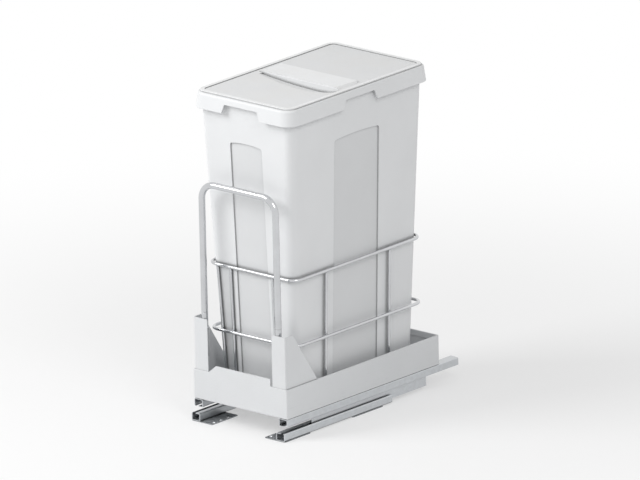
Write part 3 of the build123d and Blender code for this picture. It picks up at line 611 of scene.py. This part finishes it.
def chrome(name, colour, settings):
    """Polished chrome plate: fine polishing lines and a faint haze."""
    material, tree, shader, where = start_material(name)
    polish = put_group(tree, "Rolled plating", {
        "Vector": where, "Stretch": (900.0, 900.0, 90.0), "Crystal": 20.0,
    })
    haze = put_group(tree, "Grain", {"Vector": where, "Grain": 300.0, "Drift": 22.0})
    base = drifting(tree, haze["Tone"], colour, darkest=0.95, lightest=1.03)
    rough = summed(
        tree, CHROME.rough,
        (polish["Lines"], CHROME.line_rough), (haze["Tone"], CHROME.tone_rough),
    )
    finish_surface(tree, shader, where, colour, base, rough, polish["Lines"], CHROME, settings)
    shader.inputs["Metallic"].default_value = 1.0
    return material


def plated_steel(name, colour, settings, stretch, roughness, crystal):
    """Zinc plate or bare rolled steel: rolling lines, crystals of plating and a haze of grease."""
    material, tree, shader, where = start_material(name)
    rolled = put_group(tree, "Rolled plating", {
        "Vector": where, "Stretch": stretch, "Crystal": crystal,
    })
    haze = put_group(tree, "Grain", {"Vector": where, "Grain": 500.0, "Drift": 14.0})
    lines = rescale(tree, rolled["Lines"], low=0.35, high=0.65, new_high=0.3)
    grease = times(tree, haze["Tone"], GREASE_SHARE)
    base = drifting(tree, rolled["Crystals"], colour, darkest=0.94, lightest=1.05)
    base = mix_colour(tree, lines, base, rgba(colour, factor=0.85))
    base = mix_colour(tree, grease, base, rgba(colour, factor=0.9))
    rough = summed(
        tree, roughness,
        (rolled["Crystals"], STEEL.tone_rough), (rolled["Lines"], STEEL.line_rough),
    )
    finish_surface(tree, shader, where, colour, base, rough, rolled["Lines"], STEEL, settings)
    shader.inputs["Metallic"].default_value = 1.0
    return material


def dress(material, *starts):
    """Give a material to every CAD node whose name begins with one of the given words."""
    found = [NODES[name] for name in sorted(NODES) if name.startswith(starts)]
    if not found:
        raise RuntimeError(f"the packed model has no node that begins with {starts}")
    for piece in found:
        if not piece.material_slots:
            piece.data.materials.append(None)
        for place in piece.material_slots:
            place.material = material


# ---------------------------------------------------------------- surfaces from numpy


EAST = np.array((1.0, 0.0, 0.0))
NORTH = np.array((0.0, 1.0, 0.0))
UP = np.array((0.0, 0.0, 1.0))

SHARP_ANGLE = math.radians(35)  # edges bent more than this stay crisp

CROSS_RINGS = 15
CROSS_POLE = 0.985      # share of its half height at which a crossing weld is cut flat
COLLAR_RINGS = 9
COLLAR_GRIP = 0.9       # share of the wire's radius at which a collar starts, inside the wire
COLLAR_WOBBLE = 0.07    # unevenness of a collar, as a share of its radius
WOBBLE_WAVES = 5        # humps round a collar
WOBBLE_TURN = 9000.0    # turn of the humps for each metre along X, so that no two collars match
RIPPLE_RINGS = 4        # rings for each ripple of a stitch
RIPPLE_SHARE = 0.1      # depth of a ripple, as a share of the radius
TAPER_POWER = 8         # the higher, the shorter the tapered ends of a stitch
TAPER_LEAST = 0.02      # keeps the ends of a stitch from closing to a point
STITCH_STANDOFF = 0.6   # how far the middle of a stitch stands off the sheet, in radii

POINT_SHARE = 0.55      # radius of a screw's flat tip, as a share of its shank
RIM_BEVEL = 0.25        # bevel of a screw head's lower edge, as a share of its rim
DOME_LEAST = 0.03       # angle at which the dome stops short of its axis, in radians


def tube_faces(rings, columns):
    """Corner numbers of a closed body of rings: quads between them and one face over each end."""
    ring, column = np.meshgrid(np.arange(rings - 1), np.arange(columns), indexing="ij")
    following = (column + 1) % columns
    lower = (ring * columns + column, ring * columns + following)
    upper = ((ring + 1) * columns + following, (ring + 1) * columns + column)
    quads = np.stack(lower + upper, axis=-1).reshape(-1, 4).tolist()
    first = list(range(columns))[::-1]
    last = list(range((rings - 1) * columns, rings * columns))
    return quads + [first, last]


def carried_ellipse(centres, widths, heights, columns, wobble=0.0):
    """An ellipse in the level plane, carried along a path.

    Each point is the centre, plus the cosine of the angle times the width towards east, plus the
    sine of the angle times the height towards north, both grown by a small cosine wave of the
    angle.
    """
    angle = np.arange(columns) * 2 * math.pi / columns
    grown = 1.0 + wobble * np.cos(WOBBLE_WAVES * angle + centres[0, 0] * WOBBLE_TURN)
    across = widths[:, None, None] * (np.cos(angle) * grown)[None, :, None] * EAST
    along = heights[:, None, None] * (np.sin(angle) * grown)[None, :, None] * NORTH
    points = (centres[:, None, :] + across + along).reshape(-1, 3)
    return points, tube_faces(len(centres), columns)


def joined(bodies):
    """Put several point and face lists into one."""
    points, faces, start = [], [], 0
    for body_points, body_faces in bodies:
        points.append(body_points)
        faces += [[corner + start for corner in face] for face in body_faces]
        start += len(body_points)
    return np.vstack(points), faces


def cross_weld(middle, half_x, half_y, half_z, columns):
    """Squeezed-out metal where two wires cross: an ellipsoid.

    Its width follows the root of one less the square of the height.
    """
    height = np.linspace(-CROSS_POLE, CROSS_POLE, CROSS_RINGS)
    round_off = np.sqrt(1 - height ** 2)
    centres = middle + height[:, None] * half_z * UP
    return carried_ellipse(centres, half_x * round_off, half_y * round_off, columns)


def collar_weld(foot, wire_radius, spread, height, columns):
    """Weld round the foot of a wire: its radius falls with the square of the height left."""
    share = np.linspace(0.0, 1.0, COLLAR_RINGS)
    start = wire_radius * COLLAR_GRIP
    radius = start + (wire_radius + spread - start) * (1 - share) ** 2
    centres = foot + share[:, None] * height * UP
    return carried_ellipse(centres, radius, radius, columns, wobble=COLLAR_WOBBLE)


def stitch_weld(foot, length, radius, pitch, columns):
    """A stitch of weld: an upright rod with tapered ends.

    Its radius rises and falls with the cosine of the height, once for each ripple.
    """
    along = np.linspace(0.0, length, int(length / pitch * RIPPLE_RINGS) + 1)
    ends = np.sqrt(np.clip(1 - (2 * along / length - 1) ** TAPER_POWER, TAPER_LEAST, 1.0))
    ripple = 1 - RIPPLE_SHARE + RIPPLE_SHARE * np.abs(np.cos(math.pi * along / pitch))
    radii = radius * ends * ripple
    return carried_ellipse(foot + along[:, None] * UP, radii, radii, columns)


def recess_depth(x, y, settings):
    """Depth of the cross recess: full inside either bar of the cross, eased at its edges."""
    def eased(margin):
        share = np.clip(margin / settings.recess_ease, 0.0, 1.0)
        return share * share * (3.0 - 2.0 * share)

    longer = np.maximum(np.abs(x), np.abs(y))
    shorter = np.minimum(np.abs(x), np.abs(y))
    inside = eased(settings.recess_reach - longer) * eased(settings.recess_half - shorter)
    return settings.recess_depth * inside


def screw_body(centre, foot_z, seat_z, top_z, settings):
    """A screw with a domed head: a profile turned round its axis, less the cross recess.

    The head's height over its rim follows the root of one less the square of the share of its
    radius.
    """
    shank, head, rim = settings.shank_radius, settings.head_radius, settings.rim_height
    bevel = rim * RIM_BEVEL
    below = [
        (shank * POINT_SHARE, foot_z), (shank, foot_z + settings.point_height),
        (shank, seat_z), (head - bevel, seat_z), (head, seat_z + bevel),
    ]
    share = np.sin(np.linspace(math.pi / 2, DOME_LEAST, settings.dome_rings))
    rise = np.sqrt(np.clip(1 - share ** 2, 0.0, 1.0))
    dome = np.column_stack([head * share, seat_z + rim + (top_z - seat_z - rim) * rise])
    profile = np.vstack([below, dome])
    angle = np.arange(settings.head_steps) * 2 * math.pi / settings.head_steps
    x = profile[:, :1] * np.cos(angle)[None, :]
    y = profile[:, :1] * np.sin(angle)[None, :]
    z = np.repeat(profile[:, 1:], settings.head_steps, axis=1)
    z[len(below):] -= recess_depth(x, y, settings)[len(below):]
    points = np.stack([x + centre[0], y + centre[1], z], axis=-1).reshape(-1, 3)
    return points, tube_faces(len(profile), settings.head_steps)


def make_piece(name, points, faces, material, body):
    """Put numpy points and faces into a mesh that rides on a CAD body."""
    mesh = bpy.data.meshes.new(name)
    mesh.from_pydata(points.tolist(), [], faces)
    mesh.shade_smooth()
    mesh.set_sharp_from_angle(angle=SHARP_ANGLE)
    mesh.materials.append(material)
    mesh.validate()
    piece = bpy.data.objects.new(name, mesh)
    bpy.context.scene.collection.objects.link(piece)
    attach(piece, body)
    return piece


# ---------------------------------------------------------------- operators


class WASTEBIN_OT_effects(bpy.types.Operator):
    """Build the shared effects: grain, dust, rub marks, plating, panels, painted crease shade and
    edge wear
    """

    bl_idname = "wastebin.effects"
    bl_label = "Effects"

    def execute(self, context):
        make_grain_group()
        make_dust_group()
        make_rub_group()
        make_rolled_group()
        make_panel_group()
        make_crease_shade_group()
        make_edge_group()
        return {"FINISHED"}


class WASTEBIN_OT_stage(bpy.types.Operator):
    """Build the white floor, the lamps and the camera"""

    bl_idname = "wastebin.stage"
    bl_label = "Stage"

    sensor_width = 36.0     # width of the camera's sensor in mm
    sight = 120.0           # how far the camera sees, in metres

    def execute(self, context):
        settings = context.scene.waste_bin_stage
        self.make_floor(settings)
        self.make_sky(context.scene, settings)
        aim = settings.lamp_aim
        self.make_lamp("key_lamp", settings.key_place, aim, settings.key_size, settings.key_power)
        self.make_lamp(
            "fill_lamp", settings.fill_place, aim, settings.fill_size, settings.fill_power
        )
        self.make_camera(context.scene, settings)
        context.scene.view_settings.view_transform = "Standard"
        return {"FINISHED"}

    @staticmethod
    def seen_directly(tree):
        """One for rays from the camera and for rays off metal or through glass, else nothing."""
        rays = tree.nodes.new("ShaderNodeLightPath").outputs
        seen = calc(tree, "MAXIMUM", rays["Is Camera Ray"], rays["Is Glossy Ray"])
        return calc(tree, "MAXIMUM", seen, rays["Is Transmission Ray"])

    def make_floor(self, settings):
        """A square at height zero that turns to plain white away from the bin."""
        reach = settings.floor_reach
        corners = [(-reach, -reach, 0), (reach, -reach, 0), (reach, reach, 0), (-reach, reach, 0)]
        mesh = bpy.data.meshes.new("floor")
        mesh.from_pydata(corners, [], [(0, 1, 2, 3)])
        floor = bpy.data.objects.new("floor", mesh)
        bpy.context.scene.collection.objects.link(floor)
        material, tree, shader, where = start_material("floor_paper")
        fibre = put_group(tree, "Grain", {"Vector": where, "Grain": 700.0, "Drift": 1.5})
        base = drifting(tree, fibre["Tone"], settings.floor_colour, darkest=0.995, lightest=1.0)
        tree.links.new(base, shader.inputs["Base Color"])
        shader.inputs["Roughness"].default_value = 0.9
        shader.inputs["Specular IOR Level"].default_value = 0.1
        away = vector_calc(tree, "LENGTH", where).outputs["Value"]
        fade = rescale(
            tree, away, low=settings.fade_start, high=settings.fade_end,
            new_low=settings.floor_white,
        )
        white = add_node(tree, "ShaderNodeEmission", {"Color": WHITE, "Strength": 1.0})
        both = add_node(tree, "ShaderNodeMixShader", {
            0: times(tree, fade, self.seen_directly(tree)),
            1: shader.outputs[0], 2: white.outputs[0],
        })
        tree.links.new(both.outputs[0], tree.nodes["Material Output"].inputs["Surface"])
        mesh.materials.append(material)

    def make_sky(self, scene, settings):
        """Even light from all round, seen as plain white by the camera and by shiny metal."""
        world = bpy.data.worlds.new("studio")
        world.use_nodes = True
        scene.world = world
        tree = world.node_tree
        seen = self.seen_directly(tree)
        light = tree.nodes["Background"].inputs
        light["Color"].default_value = WHITE
        strength = rescale(tree, seen, low=0.0, high=1.0, new_low=settings.sky_strength)
        tree.links.new(strength, light["Strength"])

    def make_lamp(self, name, place, aim, size, power):
        """A square lamp that looks at one point."""
        lamp = bpy.data.lights.new(name, "AREA")
        lamp.size = size
        lamp.energy = power
        holder = bpy.data.objects.new(name, lamp)
        bpy.context.scene.collection.objects.link(holder)
        holder.location = Vector(place)
        holder.rotation_mode = "QUATERNION"
        holder.rotation_quaternion = (Vector(place) - Vector(aim)).to_track_quat("Z", "Y")

    def make_camera(self, scene, settings):
        """A very long lens at the drawing's angle, with the drawing's slight lean."""
        turn, rise, lean = settings.azimuth, settings.elevation, settings.roll
        right = Vector((math.cos(turn), math.sin(turn), 0.0))
        back = Vector((
            math.sin(turn) * math.cos(rise), -math.cos(turn) * math.cos(rise), math.sin(rise)
        ))
        up = back.cross(right)
        leaning_right = right * math.cos(lean) + up * math.sin(lean)
        leaning_up = up * math.cos(lean) - right * math.sin(lean)
        lens = bpy.data.cameras.new("picture_camera")
        lens.sensor_width = self.sensor_width
        lens.lens = settings.focal_length
        lens.clip_end = self.sight
        camera = bpy.data.objects.new("picture_camera", lens)
        bpy.context.scene.collection.objects.link(camera)
        distance = settings.picture_width * settings.focal_length / self.sensor_width
        shift_right, shift_up = settings.target_shift
        middle = Vector(settings.target) + leaning_right * shift_right + leaning_up * shift_up
        turned = Matrix((leaning_right, leaning_up, back)).transposed().to_4x4()
        camera.matrix_world = Matrix.Translation(middle + back * distance) @ turned
        scene.camera = camera


class WASTEBIN_OT_bin(bpy.types.Operator):
    """Finish the bin and its rim in moulded plastic"""

    bl_idname = "wastebin.bin"
    bl_label = "Bin"

    def execute(self, context):
        settings = context.scene.waste_bin_finish
        low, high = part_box("bin")
        grown = (high.z - low.z) * settings.wall_lean
        sizes = {
            "Centre": (0.0, (low.y + high.y) / 2, low.z), "Lean": settings.wall_lean,
            "Half Width": high.x - grown, "Half Length": (high.y - low.y) / 2 - grown,
            "Near": settings.panel_near, "Far": settings.panel_far,
            "End Panel": settings.end_panel, "Side Panel": settings.side_panel,
        }

        def panels(tree, where):
            return put_group(tree, "Panels", dict(sizes, Vector=where))["Mask"]

        material = moulded_plastic(
            "bin_plastic", settings.bin_colour, settings,
            grain=1100.0, low=low.z, high=low.z + settings.rub_height, etched=panels,
        )
        dress(material, "bin")
        return {"FINISHED"}


class WASTEBIN_OT_lid(bpy.types.Operator):
    """Finish the lid in moulded plastic"""

    bl_idname = "wastebin.lid"
    bl_label = "Lid"

    def execute(self, context):
        settings = context.scene.waste_bin_finish
        low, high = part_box("lid")

        def field(tree, where):
            return calc(tree, "LESS_THAN", axes_of(tree, where)[2], high.z - settings.lid_field)

        material = moulded_plastic(
            "lid_plastic", settings.lid_colour, settings,
            grain=800.0, low=low.z, high=high.z, etched=field,
        )
        dress(material, "lid")
        return {"FINISHED"}


class WASTEBIN_OT_tray(bpy.types.Operator):
    """Finish the tray and the front brackets in powder coat"""

    bl_idname = "wastebin.tray"
    bl_label = "Tray and brackets"

    def execute(self, context):
        settings = context.scene.waste_bin_finish
        low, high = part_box("tray")
        material = powder_coat("tray_paint", settings.paint_colour, settings, low.z, high.z)
        dress(material, "tray", "bracket")
        return {"FINISHED"}


class WASTEBIN_OT_chrome(bpy.types.Operator):
    """Finish the handle, its sockets and the wire basket in chrome, and make the weld metal"""

    bl_idname = "wastebin.chrome"
    bl_label = "Handle and wires"

    def execute(self, context):
        settings = context.scene.waste_bin_finish
        tube = chrome("chrome_tube", settings.chrome_colour, settings)
        dress(tube, "handle")
        wire = chrome("wire_chrome", settings.chrome_colour, settings)
        dress(wire, "upper_ring", "lower_ring", "upright")
        plated_steel(
            "weld_metal", settings.steel_colour, settings,
            stretch=(700.0, 700.0, 700.0), roughness=0.34, crystal=800.0,
        )
        return {"FINISHED"}


class WASTEBIN_OT_wire_welds(bpy.types.Operator):
    """Weld the upright wires to both rings and to the tray floor"""

    bl_idname = "wastebin.wire_welds"
    bl_label = "Wire welds"

    # Which way across and along the rings each upright faces, by its name
    leans = {
        "front": (0, -1), "rear": (0, 1), "left": (-1, 0), "right": (1, 0), "corner": (-1, -1),
    }

    def execute(self, context):
        settings = context.scene.waste_bin_welds
        bodies = []
        for name in sorted(NODES):
            if name.startswith("upright_"):
                bodies += self.welds_of(name, settings)
        points, faces = joined(bodies)
        weld_metal = bpy.data.materials["weld_metal"]
        make_piece("wire_welds", points, faces, weld_metal, "carriage")
        return {"FINISHED"}

    def welds_of(self, name, settings):
        """The crossing weld at the lower ring, the foot collar and the top weld of one wire."""
        radius, steps = settings.wire_radius, settings.steps
        lean = np.array(self.leans[name.split("_")[1]] + (0,), float)
        low, high = (np.array(corner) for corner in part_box(name))
        middle = (low + high) / 2
        reach = (high - low) / 2 - radius
        foot = middle - lean * reach
        top = middle + lean * reach
        foot[2], top[2] = low[2], high[2]
        ring_low, ring_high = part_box("lower_ring")
        ring_z = (ring_low.z + ring_high.z) / 2
        wire = foot + (top - foot) * (ring_z - foot[2]) / (top[2] - foot[2])
        facing = -NORTH if name == "upright_corner" else lean
        half_x, half_y = settings.cross_reach, settings.cross_depth
        if facing[1] == 0:
            half_x, half_y = half_y, half_x
        return [
            cross_weld(wire + facing * radius, half_x, half_y, settings.cross_reach, steps),
            collar_weld(foot, radius, settings.collar_spread, settings.collar_height, steps),
            cross_weld(top, settings.butt_reach, settings.butt_reach, settings.butt_depth, steps),
        ]


class WASTEBIN_OT_socket_welds(bpy.types.Operator):
    """Weld the handle sockets to the backs of the brackets"""

    bl_idname = "wastebin.socket_welds"
    bl_label = "Socket welds"

    def execute(self, context):
        settings = context.scene.waste_bin_welds
        length, radius = settings.stitch_length, settings.stitch_radius
        bodies = []
        for side in ("left", "right"):
            low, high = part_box(f"handle_socket_{side}")
            plate_low, plate_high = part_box(f"bracket_{side}")
            middle_x = (low.x + high.x) / 2
            back_y = plate_low.y + settings.sheet + radius * STITCH_STANDOFF
            for foot_z in (low.z + radius, plate_high.z - radius - length):
                for edge in (-settings.socket_side, settings.socket_side):
                    foot = np.array((middle_x + edge, back_y, foot_z))
                    bodies.append(stitch_weld(
                        foot, length, radius, settings.ripple_pitch, settings.steps // 2
                    ))
        points, faces = joined(bodies)
        weld_metal = bpy.data.materials["weld_metal"]
        make_piece("socket_welds", points, faces, weld_metal, "carriage")
        return {"FINISHED"}


class WASTEBIN_OT_slides(bpy.types.Operator):
    """Finish the slides, mounting plates and fasteners in plated and bare steel"""

    bl_idname = "wastebin.slides"
    bl_label = "Slides and fasteners"

    # Finish, colour, stretch of the rolling lines, roughness, crystals per metre, nodes
    finishes = (
        ("zinc_rail", "zinc_colour", (1500.0, 10.0, 1500.0), 0.30, 150.0,
         ("fixed_rail", "moving_rail", "intermediate_rail")),
        ("zinc_plate", "zinc_colour", (10.0, 1500.0, 1500.0), 0.36, 110.0,
         ("front_plate", "rear_plate")),
        ("cage_steel", "steel_colour", (1500.0, 10.0, 1500.0), 0.28, 400.0,
         ("lower_ball_cage", "upper_ball_cage")),
        ("ball_steel", "chrome_colour", (600.0, 600.0, 600.0), 0.06, 900.0,
         ("lower_balls", "upper_balls")),
        ("screw_steel", "steel_colour", (900.0, 900.0, 900.0), 0.25, 700.0,
         ("tray_screws", "bracket_screws", "plate_rivets")),
    )

    def execute(self, context):
        settings = context.scene.waste_bin_finish
        for name, colour, stretch, roughness, crystal, starts in self.finishes:
            material = plated_steel(
                name, getattr(settings, colour), settings, stretch, roughness, crystal
            )
            dress(material, *starts)
        return {"FINISHED"}


class WASTEBIN_OT_screws(bpy.types.Operator):
    """Turn the screws with domed heads and cross recesses"""

    bl_idname = "wastebin.screws"
    bl_label = "Screws"

    def execute(self, context):
        settings = context.scene.waste_bin_screws
        rows = {"tray_screws": (0.0, settings.middle_share, 1.0), "bracket_screws": (0.0, 1.0)}
        steel = bpy.data.materials["screw_steel"]
        for row, shares in rows.items():
            for side in ("left", "right"):
                node = f"{row}_{side}"
                low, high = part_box(node)
                first = low.y + settings.head_radius
                run = high.y - low.y - 2 * settings.head_radius
                seat_z = high.z - settings.head_height
                places = [((low.x + high.x) / 2, first + share * run) for share in shares]
                bodies = [
                    screw_body(place, low.z, seat_z, high.z, settings) for place in places
                ]
                points, faces = joined(bodies)
                piece = make_piece(
                    f"cross_{node}", points, faces, steel, "carriage"
                )
                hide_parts(node)
        return {"FINISHED"}


# ---------------------------------------------------------------- panel and registration


OPERATORS = (
    WASTEBIN_OT_effects,
    WASTEBIN_OT_stage,
    WASTEBIN_OT_bin,
    WASTEBIN_OT_lid,
    WASTEBIN_OT_tray,
    WASTEBIN_OT_chrome,
    WASTEBIN_OT_wire_welds,
    WASTEBIN_OT_socket_welds,
    WASTEBIN_OT_slides,
    WASTEBIN_OT_screws,
)

SETTINGS = {
    "waste_bin_stage": StageSettings,
    "waste_bin_finish": FinishSettings,
    "waste_bin_welds": WeldSettings,
    "waste_bin_screws": ScrewSettings,
}


class WASTEBIN_PT_parts(bpy.types.Panel):
    """Buttons and settings of the waste bin"""

    bl_idname = "WASTEBIN_PT_parts"
    bl_label = "Waste bin"
    bl_space_type = "VIEW_3D"
    bl_region_type = "UI"
    bl_category = "Waste bin"

    def draw(self, context):
        for group in SETTINGS:
            box = self.layout.box()
            settings = getattr(context.scene, group)
            for key in settings.bl_rna.properties.keys():
                if key not in ("rna_type", "name"):
                    box.prop(settings, key)
        for operator in OPERATORS:
            self.layout.operator(operator.bl_idname)


def register():
    """Register the settings, operators and panel."""
    for name, kind in SETTINGS.items():
        bpy.utils.register_class(kind)
        setattr(bpy.types.Scene, name, PointerProperty(type=kind))
    for kind in OPERATORS + (WASTEBIN_PT_parts,):
        bpy.utils.register_class(kind)


def unregister():
    """Take back what register added."""
    for kind in reversed(OPERATORS + (WASTEBIN_PT_parts,)):
        bpy.utils.unregister_class(kind)
    for name, kind in SETTINGS.items():
        delattr(bpy.types.Scene, name)
        bpy.utils.unregister_class(kind)


def main():
    """Build every piece in order."""
    register()
    for operator in OPERATORS:
        group, name = operator.bl_idname.split(".")
        getattr(getattr(bpy.ops, group), name)()


if __name__ == "__main__":
    main()
